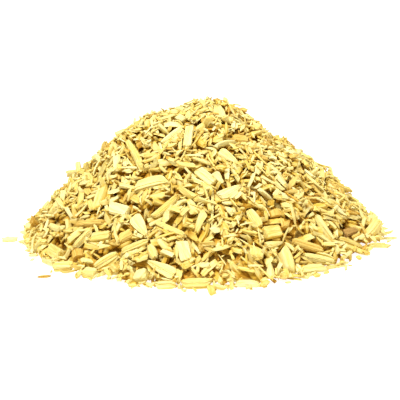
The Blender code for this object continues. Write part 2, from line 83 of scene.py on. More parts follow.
# The heap's form
SHELL = 6.5 * MM  # chips fill the heap down to this far under its surface, over a plain core
CORE_STEP = 6  # cells between the core's corners
LOWEST_CORE, CORE_FOOT = 0.8 * MM, 0.1 * MM
UNEVENNESS, UNEVEN_REACH = 0.5 * MM, 5.0 * MM
UNDER_SURFACE = 0.2 * MM  # the chips are filled to this far under the solids' surface
POCKET_DEPTH = 4.5 * MM  # here and there the heap is open down to this depth
POCKET_REACH = 3.0 * MM
POCKET_RARITY = 0.85
# The larger open places between the chips: each one's column and row in the photograph, in pixels,
# then its depth and reach in millimetres
HOLLOWS = {
    "upper_left": (142, 140, 4.6, 4.4),
    "below_upper_left": (155, 147, 3.6, 3.6),
    "below_top": (195, 157, 3.8, 4.6),
    "right_of_middle": (250, 187, 4.8, 4.2),
    "further_right": (262, 195, 4.8, 4.2),
    "below_those_two": (258, 203, 4.4, 4.0),
    "lower_right": (272, 215, 3.4, 3.2),
    "lower_middle": (220, 257, 4.0, 3.2),
    "front": (200, 268, 4.0, 3.4),
    "front_right": (242, 267, 3.4, 3.2),
    "left": (112, 235, 4.0, 3.4),
    "left_of_middle": (167, 215, 3.2, 3.0),
    "middle": (215, 222, 3.2, 3.6),
    "far_right": (300, 215, 3.2, 3.4),
    "far_left": (100, 215, 3.2, 3.0),
    "top": (208, 128, 3.0, 3.6),
}
HOLLOWS_FOOT_MIDDLE = (-0.08 * MM, 2.16 * MM)  # where the foot's middle was taken to be when they were read
# Where the line of the heap's top is lowered: x, y, depth and reach in millimetres
LOWERED = ((59.0, 0.0, 3.4, 13.0), (-13.0, 2.0, 2.4, 9.0), (28.0, 2.0, 2.4, 9.0))
FOOT_LIFT, FOOT_REACH = 1.6 * MM, 4.0 * MM  # the foot ends in chips of full thickness
FOOT_START = 0.5 * MM  # the lift begins where the heap is this high
FOOT_EDGE = 1.0 * MM  # no chip is filled in where the heap is lower than this
UNDER_LARGER = 0.3 * MM  # the chips are filled to this far under a larger one
# Painted shade: the wood is darker the deeper a point lies among the chips around it
SHADE_GAP_DEPTH = 3.0 * MM  # a point this far under the chips around it has the deepest tone, the full painted shade of a gap
SHADE_GAP_START = 0.1 * MM

# Loose chips stay low in front of a larger chip, so that they don't hide it
SIGHT_REACH = 7.0 * MM
HIDDEN_SHARE = 0.3
LEAST_UNDER_SURFACE = 0.4 * MM

# The chips' sizes
LENGTHS = (1.6 * MM, 14.0 * MM)
WIDTHS = (0.7 * MM, 4.8 * MM)
THICKNESSES = (0.45 * MM, 3.4 * MM)
FLATNESS = (0.40, 0.92)  # thickness as a share of the width
LONGER_AT_FOOT, LESS_AT_TOP = 1.30, 0.48
FINE_RIGHT_OF, FINE_ABOVE = 12.0 * MM, 0.4  # an x, and a share of the heap's height
FINER = 0.80  # lengths there, as a share of the others

# How a chip comes to rest
TESTED_LENGTH, TESTED_WIDTH = 0.94, 0.90
FITTING = 0.75  # how much it follows what is right under it, and not the heap's slope
STEEPEST_CHANGE = 0.55
LEAST_UPRIGHT = 0.25
OVER_TABLE = 0.05 * MM
OVERLAP = 0.2 * MM
STANDING_SHARE, STANDING_MORE = 0.32, 2.5
HIGHEST_OVER = 3.0 * MM  # a chip's top lies at most this far over the solids' surface
OVER_SPREAD = 0.5 * MM

# The fills, from the deepest up. missing is how far under the goal a place has to be to get a chip, steady is
# in degrees, and press is the share of a chip's underside that has to be clear.
FILLS = {
    "deep": dict(missing=2.8 * MM, middle=7.0 * MM, spread=0.30, steady=13.0, press=0.86, most_chips=4000,
                 ceiling=-0.6 * MM),
    "long": dict(missing=1.4 * MM, middle=7.8 * MM, spread=0.32, steady=16.0, press=0.90, most_chips=1700,
                 ceiling=1.5 * MM),
    "short": dict(missing=1.3 * MM, middle=5.8 * MM, spread=0.34, steady=17.0, press=0.88, most_chips=2600,
                  ceiling=1.5 * MM),
    "small": dict(missing=1.3 * MM, middle=3.8 * MM, spread=0.30, steady=18.0, press=0.86, most_chips=2400,
                  ceiling=1.1 * MM),
}
FILL_ROUND, FEW_PLACES, FEW_LANDED, STALE_ROUNDS = 400, 12, 8, 4
FILL_OVER_LARGER = 0.04

# What falls last, on the heap or on the table close to its foot
SCATTERS = {
    "toppings": dict(most_chips=400, middle=6.0 * MM, spread=0.36, slimmest=0.26, widest=0.56,
                     near_foot=False, most_over_larger=0.04),
    "splinters": dict(most_chips=760, middle=6.0 * MM, spread=0.38, slimmest=0.10, widest=0.17,
                      near_foot=False, most_over_larger=0.08),
    "crumbs": dict(most_chips=300, middle=1.9 * MM, spread=0.28, slimmest=0.35, widest=0.8,
                   near_foot=False, most_over_larger=0.10),
    "foot_chips": dict(most_chips=230, middle=5.2 * MM, spread=0.40, slimmest=0.36, widest=0.7,
                       near_foot=True, most_over_larger=0.06),
    "foot_crumbs": dict(most_chips=170, middle=1.9 * MM, spread=0.3, slimmest=0.3, widest=0.7,
                        near_foot=True, most_over_larger=0.3),
}
SCATTER_STEADY, SCATTER_PRESS, SCATTER_TRIES = 7.0, 0.86, 4
FOOT_BAND = (0.6 * MM, 3.0 * MM)  # how high the heap is where chips are scattered near its foot
ON_HEAP = 2.0 * MM
FOOT_FLING, FOOT_FAN = 1.0 * MM, 0.3
PAST_BOX = (4.0 * MM, 8.0 * MM)

# The pieces: a name, what goes into it, points round a chip, rings along it, and whether they are crumbs
SORTS = (
    ("deep_chips", ("deep",), 8, 4, False),
    ("long_chips", ("long", "toppings"), 16, 7, False),
    ("short_chips", ("short", "foot_chips"), 13, 6, False),
    ("small_chips", ("small",), 9, 4, False),
    ("splinters", ("splinters",), 7, 5, False),
    ("crumbs", ("crumbs", "foot_crumbs"), 6, 3, True),
)
CHIP_KINDS = {"split": 0.26, "block": 0.42, "flake": 0.14, "leaf": 0.06, "sliver": 0.12}

# The larger chips
FINE_SIDES, FINE_STATIONS = 36, 18
FINE_RELIEF, DRIFT_SHARE = 0.085 * MM, 0.9
CRACK_DEPTH = 0.30 * MM
RIDGES, RIDGE_DEPTH = 9, 0.30 * MM  # along the ridged slab at the front
MOST_OUTWARD = 0.12 * MM
LEAST_RADIUS = 0.25
END_INSET = 0.12 * MM
END_HOLLOW, END_ROUGHNESS = 0.12 * MM, 0.10 * MM
END_INNER = 0.45  # the size of the ring inside an end, as a share of the end's own
OVER_TABLE_LARGER = 0.02 * MM
PAINTED_SHADE_OF_LARGER = 0.8  # their painted shade by depth among the chips is weaker than the loose ones'

# Kinds of wood: the record's slot, then its light, its dark and its deepest tone, as linear colours. The dark
# tone is both the wood's darker grain and painted shade; the deepest tone is painted shade down in the gaps
# between the chips.
WOODS = {
    "pale": ("pale_wood", (0.82, 0.79, 0.42), (0.74, 0.56, 0.12), (0.46, 0.215, 0.012)),
    "yellow": ("yellow_wood", (0.79, 0.74, 0.34), (0.66, 0.455, 0.06), (0.39, 0.17, 0.008)),
    "tan": ("tan_wood", (0.75, 0.60, 0.19), (0.53, 0.295, 0.03), (0.29, 0.115, 0.005)),
    "bark": ("bark", (0.50, 0.32, 0.10), (0.24, 0.12, 0.03), (0.12, 0.05, 0.01)),
}
WOOD_SHARES = {"pale": 0.42, "yellow": 0.48, "tan": 0.10}
TONE_STOPS = (0.05, 0.55, 0.95)  # where on the ramp the light, the dark and the deepest tone lie; past the dark it is mostly painted shade
LEAST_TONE = 0.04
ALL_LAYERS = 0.6
# How much each layer of the wood's tone counts. The depth layer is painted shade: darker the deeper a point
# lies among the chips.
LAYERS = {
    "tone": 0.55, "rings": 0.16, "fibres": 1.0, "bands": 0.95, "blotches": 0.45, "broken_end": 0.16,
    # depth: painted shade in the gaps among the chips
    "depth": 0.85,
}
# Noise per metre along the grain and across it
FIBRES = (220.0, 2600.0, 2600.0)
BANDS = (45.0, 620.0, 620.0)
BLOTCHES = (160.0, 260.0, 260.0)
RINGS_PER_METRE = 1100.0  # growth rings of the wood
SHEEN = 0.12
LEAST_ROUGH, MORE_ROUGH = 0.55, 0.25
BUMP_STRENGTH, BUMP_HEIGHT, BANDS_IN_BUMP = 0.45, 0.12 * MM, 0.6
SHARP_EDGE = math.radians(24.0)

# The studio: each light's name, place, aim, size, power and colour
LIGHTS = (
    ("key", (-0.24, -0.42, 0.80), (0.0, 0.0, 0.02), 0.18, 9.3, (1.0, 0.99, 0.96)),
    ("overhead", (0.36, -0.16, 0.85), (0.0, 0.0, 0.0), 0.3, 3.6, (1.0, 0.99, 0.95)),
    ("back", (-0.10, 0.75, 0.55), (0.0, 0.0, 0.02), 0.5, 3.0, (1.0, 0.97, 0.88)),
    ("fill", (0.62, -0.50, 0.30), (0.0, 0.0, 0.02), 0.4, 0.7, (1.0, 0.93, 0.75)),
)
ROOM_COLOUR, ROOM_STRENGTH = (1.0, 0.60, 0.15, 1.0), 0.28
TABLE_HALF = 6.0
TABLE_COLOUR, TABLE_GLOW = (0.50, 0.50, 0.49, 1.0), 0.88


# The photograph's view

def eye_and_tilt(foot_middle):
    """Where the camera stands and how far down it looks, if the foot's middle is at this x and y."""
    eye = Vector((0.0, -math.cos(EYE_ELEVATION), math.sin(EYE_ELEVATION))) * EYE_DISTANCE
    down = EYE_ELEVATION - math.atan(FOOT_BELOW_MIDDLE * MM_PER_PIXEL * MM / EYE_DISTANCE)
    return eye + Vector((*foot_middle, 0.0)), down


def spot_at(column, row, mass):
    """The x and y, to a tenth of a millimetre, where a pixel of the photograph lies on the mass of chips."""
    eye, down = eye_and_tilt(HOLLOWS_FOOT_MIDDLE)
    ahead = LENS / SENSOR * PICTURE
    right, up = column - PICTURE / 2.0, PICTURE / 2.0 - row
    forward = ahead * math.cos(down) + up * math.sin(down)
    upward = up * math.cos(down) - ahead * math.sin(down)
    hit = mass.ray_cast(eye, Vector((right, forward, upward)).normalized())[0]
    return round(hit.x / MM, 1), round(hit.y / MM, 1)


# The solids as height maps

def mesh_arrays(node):
    """A solid's points, and its triangles as numbers of points."""
    mesh = frame["nodes"][node].data
    points = np.zeros(len(mesh.vertices) * 3, np.float32)
    mesh.vertices.foreach_get("co", points)
    mesh.calc_loop_triangles()
    corners = np.zeros(len(mesh.loop_triangles) * 3, np.int32)
    mesh.loop_triangles.foreach_get("vertices", corners)
    return points.reshape(-1, 3).astype(float), corners.reshape(-1, 3)


def tree_of(nodes):
    """One search tree over all the triangles of these solids."""
    points, faces, count = [], [], 0
    for node in nodes:
        node_points, node_faces = mesh_arrays(node)
        points.append(node_points)
        faces.append(node_faces + count)
        count += len(node_points)
    return BVHTree.FromPolygons(np.concatenate(points).tolist(), np.concatenate(faces).tolist())


LOW = np.array([CAD_BOX[0][0] - MARGIN, CAD_BOX[0][1] - MARGIN])
GRID = tuple(
    int(math.ceil((CAD_BOX[1][i] - CAD_BOX[0][i] + 2.0 * MARGIN) / CELL / CORE_STEP)) * CORE_STEP
    for i in range(2)
)


def heights(nodes, from_above, missing):
    """The nodes' highest or lowest surface over every cell, and missing where there is none."""
    tree = tree_of(nodes)
    start = 1.0 if from_above else -1.0
    way = Vector((0.0, 0.0, -start))
    shape = (GRID[0] // COARSE, GRID[1] // COARSE)
    found = np.full(shape, missing)
    for i in range(shape[0]):
        x = LOW[0] + (i + 0.5) * COARSE * CELL
        for j in range(shape[1]):
            hit = tree.ray_cast(Vector((x, LOW[1] + (j + 0.5) * COARSE * CELL, start)), way)[0]
            if hit is not None:
                found[i, j] = hit.z
    return np.repeat(np.repeat(found, COARSE, 0), COARSE, 1)


def blurred(values, reach):
    """A box blur, run twice, over reach cells each way."""
    width = 2 * reach + 1
    for axis in (0, 1, 0, 1):
        before = np.repeat(values.take([0], axis), reach, axis)
        after = np.repeat(values.take([-1], axis), reach, axis)
        sums = np.cumsum(np.concatenate([before, values, after], axis), axis)
        sums = np.concatenate([np.zeros_like(sums.take([0], axis)), sums], axis)
        count = values.shape[axis]
        values = (sums.take(range(width, width + count), axis) - sums.take(range(count), axis)) / width
    return values


LARGER = sorted(set(frame["nodes"]) - {"chip_mass"})
ALL_TOPS = heights(sorted(frame["nodes"]), True, 0.0)
SMOOTH = blurred(ALL_TOPS, int(SMOOTHING / CELL / 2))
LARGER_TOPS = heights(LARGER, True, 0.0)
LARGER_UNDERSIDES = heights(LARGER, False, np.inf)
SLOPE_X, SLOPE_Y = np.gradient(blurred(ALL_TOPS, int(SMOOTHING / CELL)), CELL)


def cells_at(x, y):
    """The cells that many places lie in."""
    i = np.clip(((x - LOW[0]) / CELL).astype(int), 0, GRID[0] - 1)
    j = np.clip(((y - LOW[1]) / CELL).astype(int), 0, GRID[1] - 1)
    return i, j


def cell_at(x, y):
    """The cell that one place lies in."""
    i = min(max(int((x - LOW[0]) / CELL), 0), GRID[0] - 1)
    j = min(max(int((y - LOW[1]) / CELL), 0), GRID[1] - 1)
    return i, j


def place_in(cell):
    """A random place in this cell."""
    x = LOW[0] + (cell[0] + RNG.random()) * CELL
    y = LOW[1] + (cell[1] + RNG.random()) * CELL
    return x, y


# Dropping the chips

def spots_under(size):
    """A grid of places over a chip: along it and across it, from its middle."""
    length, width, _ = size
    u = np.linspace(-0.5, 0.5, max(3, int(length / CELL) + 1)) * length * TESTED_LENGTH
    v = np.linspace(-0.5, 0.5, max(2, int(width / CELL) + 1)) * width * TESTED_WIDTH
    return (values.ravel() for values in np.meshgrid(u, v))


def turned(first, second, angle):
    """Two axes at right angles, turned by an angle from the first towards the second."""
    cos, sin = math.cos(angle), math.sin(angle)
    return first * cos + second * sin, second * cos - first * sin


def chip_axes(slope, yaw, lean):
    """A chip's axes on this slope: along its length, across it, and out of its upper side."""
    normal = np.array([-slope[0], -slope[1], 1.0])
    normal /= np.linalg.norm(normal)
    along = np.array([math.cos(yaw), math.sin(yaw), 0.0])
    along -= normal * (along @ normal)
    along /= np.linalg.norm(along)
    across = np.array([
        normal[1] * along[2] - normal[2] * along[1],
        normal[2] * along[0] - normal[0] * along[2],
        normal[0] * along[1] - normal[1] * along[0],
    ])
    along, normal = turned(along, normal, lean[0])
    across, normal = turned(across, normal, lean[1])
    return along, across, normal


class Heap:
    """The height map while chips fall on it, and the chips that have come to rest."""

    def __init__(self, start, blocked):
        self.top = start.copy()
        self.blocked = blocked
        self.resting = []

    def slope_under(self, x, y, u, v, yaw):
        """The heap's slope at (x, y), changed towards the slope of what is right under the chip."""
        i, j = cell_at(x, y)
        slope = np.array([SLOPE_X[i, j], SLOPE_Y[i, j]])
        cos_yaw, sin_yaw = math.cos(yaw), math.sin(yaw)
        under = self.top[cells_at(x + u * cos_yaw - v * sin_yaw, y + u * sin_yaw + v * cos_yaw)]
        rise_u, rise_v = (u @ under) / (u @ u), (v @ under) / (v @ v)
        fitted = np.array([rise_u * cos_yaw - rise_v * sin_yaw, rise_u * sin_yaw + rise_v * cos_yaw])
        change = FITTING * (fitted - slope)
        size_of_change = np.linalg.norm(change)
        if size_of_change > STEEPEST_CHANGE:
            change *= STEEPEST_CHANGE / size_of_change
        return slope + change

    def settle(self, x, y, size, yaw, lean, press, most_over_larger, ceiling):
        """Lays a chip at (x, y), if it fits. press is the share of its underside that has to be clear."""
        u, v = spots_under(size)
        along, across, normal = chip_axes(self.slope_under(x, y, u, v, yaw), yaw, lean)
        if normal[2] < LEAST_UPRIGHT:
            return False
        plan = u[:, None] * along + v[:, None] * across
        half = normal * size[2] / 2.0
        lower, upper = plan - half, plan + half
        beneath = self.top[cells_at(x + lower[:, 0], y + lower[:, 1])]
        clear = int(press * (len(u) - 1))
        z = np.partition(beneath - lower[:, 2], clear)[clear]
        z = max(z, -lower[:, 2].min() + OVER_TABLE)
        over = cells_at(x + upper[:, 0], y + upper[:, 1])
        tops = z + upper[:, 2]
        if np.mean(tops > self.blocked[over] + OVERLAP) > most_over_larger:
            return False
        if np.mean(tops - SMOOTH[over]) > ceiling:
            return False
        np.maximum.at(self.top, over, tops)
        self.resting.append((np.array([x, y, z]), np.stack([along, across, normal], 1), np.array(size)))
        return True


def lean_angles(steady):
    """Most chips lie flat on what is under them, and a few stand up out of it."""
    spread = math.radians(steady if RNG.random() > STANDING_SHARE else STANDING_MORE * steady)
    return RNG.normal(0.0, spread), RNG.normal(0.0, spread)


def chip_size(x, y, middle, spread, slimmest=0.22, widest=0.54):
    """A random size: longer near the foot, and finer towards the top of the right flank."""
    up = SMOOTH[cell_at(x, y)] / CAD_BOX[1][2]
    finer = FINER if x > FINE_RIGHT_OF and up > FINE_ABOVE else 1.0
    graded = middle * (LONGER_AT_FOOT - LESS_AT_TOP * up) * finer
    length = float(np.clip(graded * math.exp(RNG.normal(0.0, spread)), *LENGTHS))
    width = float(np.clip(length * RNG.uniform(slimmest, widest), *WIDTHS))
    thickness = float(np.clip(width * RNG.uniform(*FLATNESS), *THICKNESSES))
    return length, width, thickness


def fill(heap, goal, missing, middle, spread, steady, press, most_chips, ceiling):
    """Drops chips where the heap is lower than goal by missing or more, until few such places are left."""
    first, stale = len(heap.resting), 0
    while len(heap.resting) - first < most_chips and stale < STALE_ROUNDS:
        low = np.argwhere(goal - heap.top > missing)
        if len(low) < FEW_PLACES:
            break
        landed = 0
        for pick in RNG.choice(len(low), min(FILL_ROUND, len(low)), replace=False):
            i, j = low[pick]
            if goal[i, j] - heap.top[i, j] <= missing:
                continue
            x, y = place_in((i, j))
            size = chip_size(x, y, middle, spread)
            yaw = RNG.uniform(0.0, math.pi)
            over = min(ceiling + RNG.exponential(OVER_SPREAD) * (ceiling > 0.0), HIGHEST_OVER)
            landed += heap.settle(x, y, size, yaw, lean_angles(steady), press, FILL_OVER_LARGER, over)
        stale = stale + 1 if landed < FEW_LANDED else 0
    return heap.resting[first:]


def near_box(x, y):
    """Whether a place is over the solids' box or close to it."""
    return all(
        CAD_BOX[0][axis] - past < spot < CAD_BOX[1][axis] + past
        for axis, (spot, past) in enumerate(zip((x, y), PAST_BOX))
    )


def scatter(heap, most_chips, middle, spread, slimmest, widest, near_foot, most_over_larger):
    """Chips and crumbs that fell last: anywhere on the heap, or on the table close to its foot."""
    first = len(heap.resting)
    outline = (SMOOTH > FOOT_BAND[0]) & (SMOOTH < FOOT_BAND[1])
    places = np.argwhere(outline if near_foot else SMOOTH > ON_HEAP)
    tries = 0
    while len(heap.resting) - first < most_chips and tries < SCATTER_TRIES * most_chips:
        tries += 1
        x, y = place_in(places[RNG.integers(len(places))])
        if near_foot:
            outward = math.atan2(y, x) + RNG.normal(0.0, FOOT_FAN)
            away = RNG.exponential(FOOT_FLING) - FOOT_FLING
            x, y = x + away * math.cos(outward), y + away * math.sin(outward)
        if not near_box(x, y):
            continue
        size = chip_size(x, y, middle, spread, slimmest, widest)
        yaw = RNG.uniform(0.0, math.pi)
        lean = lean_angles(SCATTER_STEADY)
        heap.settle(x, y, size, yaw, lean, SCATTER_PRESS, most_over_larger, HIGHEST_OVER)
    return heap.resting[first:]


# Chip shapes

def cross_sections(count, sides):
    """Each chip's section across its grain, from nearly a box to nearly an ellipse, and how wedged it is."""
    turn = 2.0 * np.pi * (np.arange(sides)[None, :] + RNG.uniform(-0.28, 0.28, (count, sides))) / sides
    turn = (turn + RNG.uniform(0.0, 2.0 * np.pi, (count, 1)))[:, None, :]
    square = RNG.uniform(0.12, 0.50, (count, 1, 1))  # near 0 is a box, 1 an ellipse
    cos, sin = np.cos(turn), np.sin(turn)
    y = np.sign(cos) * np.abs(cos) ** square
    z = np.sign(sin) * np.abs(sin) ** square
    ridges = 1.0 + RNG.normal(0.0, 0.075, (count, 1, sides))
    y, z = y * ridges, z * ridges
    wedge = RNG.uniform(-0.45, 0.45, (count, 1, 1))
    z = z * (1.0 + wedge * y)
    y = y + RNG.uniform(-0.35, 0.35, (count, 1, 1)) * z
    return y, z, wedge


def widths_along(at, count):
    """Each chip's width along its length, as a share of its widest, after the way it broke."""
    kind = RNG.choice(len(CHIP_KINDS), count, p=list(CHIP_KINDS.values()))[:, None, None]
    a, b = RNG.uniform(0.0, 1.0, (2, count, 1, 1))
    near, far = np.clip(-at, 0.0, 1.0), np.clip(at, 0.0, 1.0)
    shares = {
        "split": 1.0 - (0.15 + 0.35 * a) * near**1.6 - (0.15 + 0.45 * b) * far**1.6,
        "block": 1.0 - 0.10 * np.abs(at) ** 6 + 0.06 * (a - 0.5) * at,
        "flake": 1.0 - (0.28 + 0.22 * a) * (at + 1.0),
        "leaf": np.sqrt(np.clip(1.06 - at**2, 0.03, 1.0)),
        "sliver": 1.0 - (0.55 + 0.3 * a) * near**1.2 - (0.55 + 0.3 * b) * far**1.2,
    }
    return np.choose(kind, [shares[name] for name in CHIP_KINDS])


def bent(y, z, at, length):
    """The sections moved and turned along the length, as wood that grew a little crooked."""
    count = len(y)
    bend = RNG.normal(0.0, 0.045, (count, 1, 1)) * length
    sway = RNG.normal(0.0, 0.03, (count, 1, 1)) * length
    twist = RNG.normal(0.0, 0.20, (count, 1, 1)) * at
    y, z = y * np.cos(twist) - z * np.sin(twist), y * np.sin(twist) + z * np.cos(twist)
    arch = at**2 - 0.4
    return y + sway * arch, z + bend * arch


def broken_lengths(y, z, at, end, length, width):
    """Where each point lies along its chip, with slanting and jagged ends."""
    count, _, sides = y.shape
    oblique_y = RNG.normal(0.0, 0.42, (count, 1, 1)) * np.where(at > 0, 1.0, 0.0)
    oblique_y = oblique_y + RNG.normal(0.0, 0.42, (count, 1, 1)) * np.where(at < 0, 1.0, 0.0)
    oblique_z = RNG.normal(0.0, 0.5, (count, 1, 1))
    jag = RNG.normal(0.0, 0.11, (count, 2, sides))
    jag = np.where(at > 0, jag[:, :1], jag[:, 1:])
    x = at * length / 2.0 * np.ones_like(y)
    x = x + np.abs(at) ** 8 * (oblique_y * y + oblique_z * z)
    return x + end * jag * np.minimum(width, length * 0.5)


def with_end_points(points, end, width):
    """The tubes' points with one more in the middle of each end, and a mark on every point of an end."""
    count = len(points)
    marks = np.broadcast_to(end * 1.0, points.shape[:3])
    caps = points[:, [0, -1]].mean(2, keepdims=True)
    caps[:, 0, :, 0] += RNG.normal(0.0, 0.05, (count, 1)) * width[:, :, 0]
    caps[:, 1, :, 0] += RNG.normal(0.0, 0.05, (count, 1)) * width[:, :, 0]
    points = np.concatenate([points.reshape(count, -1, 3), caps.reshape(count, 2, 3)], 1)
    return points, np.concatenate([marks.reshape(count, -1), np.ones((count, 2))], 1)


def chip_shapes(sizes, sides, stations, crumb=False):
    """Many chips at once: their points, as (chips, points, 3), and a mark on the points of the ends.

    A chip is a tube of `stations` rings of `sides` points, with a point in each end.
    """
    count = len(sizes)
    length, width, thickness = (sizes[:, i][:, None, None] for i in range(3))
    at = np.linspace(-1.0, 1.0, stations)
    at = np.sign(at) * np.abs(at) ** 0.8  # closer rings near the ends
    at = at[None, :, None]
    y, z, wedge = cross_sections(count, sides)
    share = widths_along(at, count)
    deep = 0.45 + 0.55 * share
    waist = 1.0 + 0.05 * RNG.normal(0.0, 1.0, (count, stations, 1))
    y = y * share * waist * width / 2.0
    z = z * deep * thickness / 2.0 / (1.0 + 0.35 * np.abs(wedge))
    y, z = bent(y, z, at, length)
    end = np.abs(at) > 0.999
    x = broken_lengths(y, z, at, end, length, width)
    if crumb:
        x, y, z = (values * RNG.uniform(0.8, 1.2, values.shape) for values in (x, y, z))
    return with_end_points(np.stack([x, y, z], -1), end, width)


def tube_faces(sides, stations):
    """The quads of a tube's side, and the triangles of its two ends."""
    ring, around = np.meshgrid(np.arange(stations - 1), np.arange(sides), indexing="ij")
    after = (around + 1) % sides
    quads = np.stack([
        ring * sides + around, (ring + 1) * sides + around, (ring + 1) * sides + after, ring * sides + after,
    ], -1).reshape(-1, 4)[:, ::-1]
    i = np.arange(sides)
    last = (stations - 1) * sides
    first_end = np.stack([np.full(sides, stations * sides), (i + 1) % sides, i], -1)
    last_end = np.stack([np.full(sides, stations * sides + 1), last + i, last + (i + 1) % sides], -1)
    return quads, np.concatenate([first_end, last_end])


def tube_map(sides, stations):
    """Where each face's corners lie in a chip's own unit square of the map.

    The side is unrolled over two thirds of the square, and the two ends lie side by side over the rest.
    """
    ring, around = np.meshgrid(np.arange(stations - 1), np.arange(sides), indexing="ij")
    left, right = ring / (stations - 1), (ring + 1) / (stations - 1)
    low, high = around / sides * 0.66, (around + 1) / sides * 0.66
    corners = ((left, low), (right, low), (right, high), (left, high))
    quads = np.stack([np.stack(corner, -1) for corner in corners], -2).reshape(-1, 4, 2)[:, ::-1]
    i = np.arange(sides)
    spots = []
    for middle, order in ((0.25, (1, 0)), (0.75, (0, 1))):
        centre = np.array([middle, 0.84])
        turns = [2 * np.pi * (i + k) / sides for k in order]
        corner = [centre + 0.14 * np.stack([np.cos(turn), np.sin(turn)], -1) for turn in turns]
        spots.append(np.stack([np.broadcast_to(centre, (sides, 2)), *corner], 1))
    return quads, np.concatenate(spots)


def depth_under(points, tops_around):
    """How deep each point lies among the chips around it, from 0 for the highest to 1 down in a gap. The
    wood's tone paints shade by it.
    """
    over = tops_around[cells_at(points[..., 0].ravel(), points[..., 1].ravel())] - points[..., 2].ravel()
    return np.clip((over + SHADE_GAP_START) / SHADE_GAP_DEPTH, 0.0, 1.0)


def add_attribute(mesh, name, kind, values):
    """A value for every point of the mesh, for its material."""
    field = "vector" if kind == "FLOAT_VECTOR" else "value"
    mesh.attributes.new(name, kind, "POINT").data.foreach_set(field, values.astype(np.float32).ravel())


def add_map(mesh, count, maps):
    """The map of the surface: each chip has a square of its own in it."""
    across = int(math.ceil(math.sqrt(count)))
    place = np.stack([np.arange(count) % across, np.arange(count) // across], -1)[:, None, None, :]
    spots = [((place + 0.04 + 0.92 * one[None]) / across).reshape(-1, 2) for one in maps]
    spots = np.concatenate(spots).astype(np.float32).ravel()
    mesh.uv_layers.new(name="OFBake").data.foreach_set("uv", spots)


def joined_mesh(name, points, grain, tone, ends, depth, sides, stations):
    """One piece of many chips that have the same faces. points is (chips, points, 3)."""
    count, each = points.shape[:2]
    quads, triangles = tube_faces(sides, stations)
    offsets = (np.arange(count) * each)[:, None, None]
    corners = np.concatenate([(faces[None] + offsets).reshape(-1) for faces in (quads, triangles)])
    totals = np.concatenate([np.full(len(quads) * count, 4), np.full(len(triangles) * count, 3)])
    starts = np.concatenate([[0], np.cumsum(totals)[:-1]])
    mesh = bpy.data.meshes.new(name)
    mesh.vertices.add(count * each)
    mesh.vertices.foreach_set("co", points.astype(np.float32).ravel())
    mesh.loops.add(len(corners))
    mesh.loops.foreach_set("vertex_index", corners.astype(np.int32))
    mesh.polygons.add(len(totals))
    mesh.polygons.foreach_set("loop_start", starts.astype(np.int32))
    mesh.polygons.foreach_set("loop_total", totals.astype(np.int32))
    mesh.update(calc_edges=True)
    add_map(mesh, count, tube_map(sides, stations))
    add_attribute(mesh, "grain", "FLOAT_VECTOR", grain)
    add_attribute(mesh, "tone", "FLOAT_VECTOR", tone)
    add_attribute(mesh, "broken_end", "FLOAT", ends)
    # depth carries the painted shade of the gaps among the chips
    add_attribute(mesh, "depth", "FLOAT", depth)
    mesh.shade_smooth()
    mesh.set_sharp_from_angle(angle=SHARP_EDGE)
    piece = bpy.data.objects.new(name, mesh)
    bpy.context.scene.collection.objects.link(piece)
    return piece


def make_chips(name, chips, sides, stations, wood, tops_around, crumb):
    """The piece that holds these resting chips, each with a shape of its own."""
    places, turns, sizes = (np.array(values) for values in zip(*chips))
    shapes, ends = chip_shapes(sizes, sides, stations, crumb)
    points = np.einsum("nij,npj->npi", turns, shapes) + places[:, None, :]
    points[:, :, 2] = np.maximum(points[:, :, 2], OVER_TABLE)
    shift = RNG.uniform(-1.0, 1.0, (len(chips), 1, 3))
    tone = np.broadcast_to(RNG.uniform(0.0, 1.0, (len(chips), 1, 3)), shapes.shape)
    # painted shade: how deep each point lies among the chips
    depth = depth_under(points, tops_around)
    piece = joined_mesh(name, points, shapes + shift, tone, ends, depth, sides, stations)
    piece.data.materials.append(wood_material(wood))
    return piece


# The larger chips, from their own solids

def grain_frame(node, points, faces):
    """The chip's middle, and its axes: along the grain, across it, and through its thickness."""
    start, second, third = (points[faces[:, i]] for i in range(3))
    cross = np.cross(second - start, third - start)
    area = np.linalg.norm(cross, axis=1) / 2.0
    centre = (start + second + third) / 3.0
    middle = (centre * area[:, None]).sum(0) / area.sum()
    offsets = (centre - middle) * np.sqrt(area)[:, None]
    axes = np.linalg.svd(offsets, full_matrices=False)[2]
    if "twig" in node:
        normals = cross / np.maximum(area[:, None] * 2.0, 1e-12)
        flat = [np.sum(area * np.abs(normals @ axis) ** 12) for axis in axes]
        first = int(np.argmax(flat))
        axes = axes[[first] + [i for i in range(3) if i != first]]
    if np.linalg.det(axes) < 0.0:
        axes[2] = -axes[2]
    return middle, axes.T


def section_centres(points, faces, stations):
    """The middle of the solid's section at each station along x."""
    edges = np.concatenate([faces[:, [0, 1]], faces[:, [1, 2]], faces[:, [2, 0]]])
    start, end = points[edges[:, 0]], points[edges[:, 1]]
    centres = []
    for x in stations:
        crossing = (start[:, 0] - x) * (end[:, 0] - x) < 0.0
        share = (x - start[crossing, 0]) / (end[crossing, 0] - start[crossing, 0])
        cut = start[crossing] + share[:, None] * (end[crossing] - start[crossing])
        centres.append([x, *((cut[:, 1:].min(0) + cut[:, 1:].max(0)) / 2.0)])
    return np.array(centres)


def measured_sections(points, faces, at, turns):
    """The middles and the radii of the solid's sections across the grain."""
    low, high = points[:, 0].min(), points[:, 0].max()
    centres = section_centres(points, faces, (low + high) / 2.0 + at * ((high - low) / 2.0 - END_INSET))
    tree = BVHTree.FromPolygons(points.tolist(), faces.tolist())
    radii = np.zeros((len(at), len(turns)))
    for s, centre in enumerate(centres):
        for k, turn in enumerate(turns):
            hit = tree.ray_cast(Vector(centre), Vector((0.0, math.cos(turn), math.sin(turn))))
            radii[s, k] = hit[3] if hit[0] is not None else 0.0
    return centres, radii


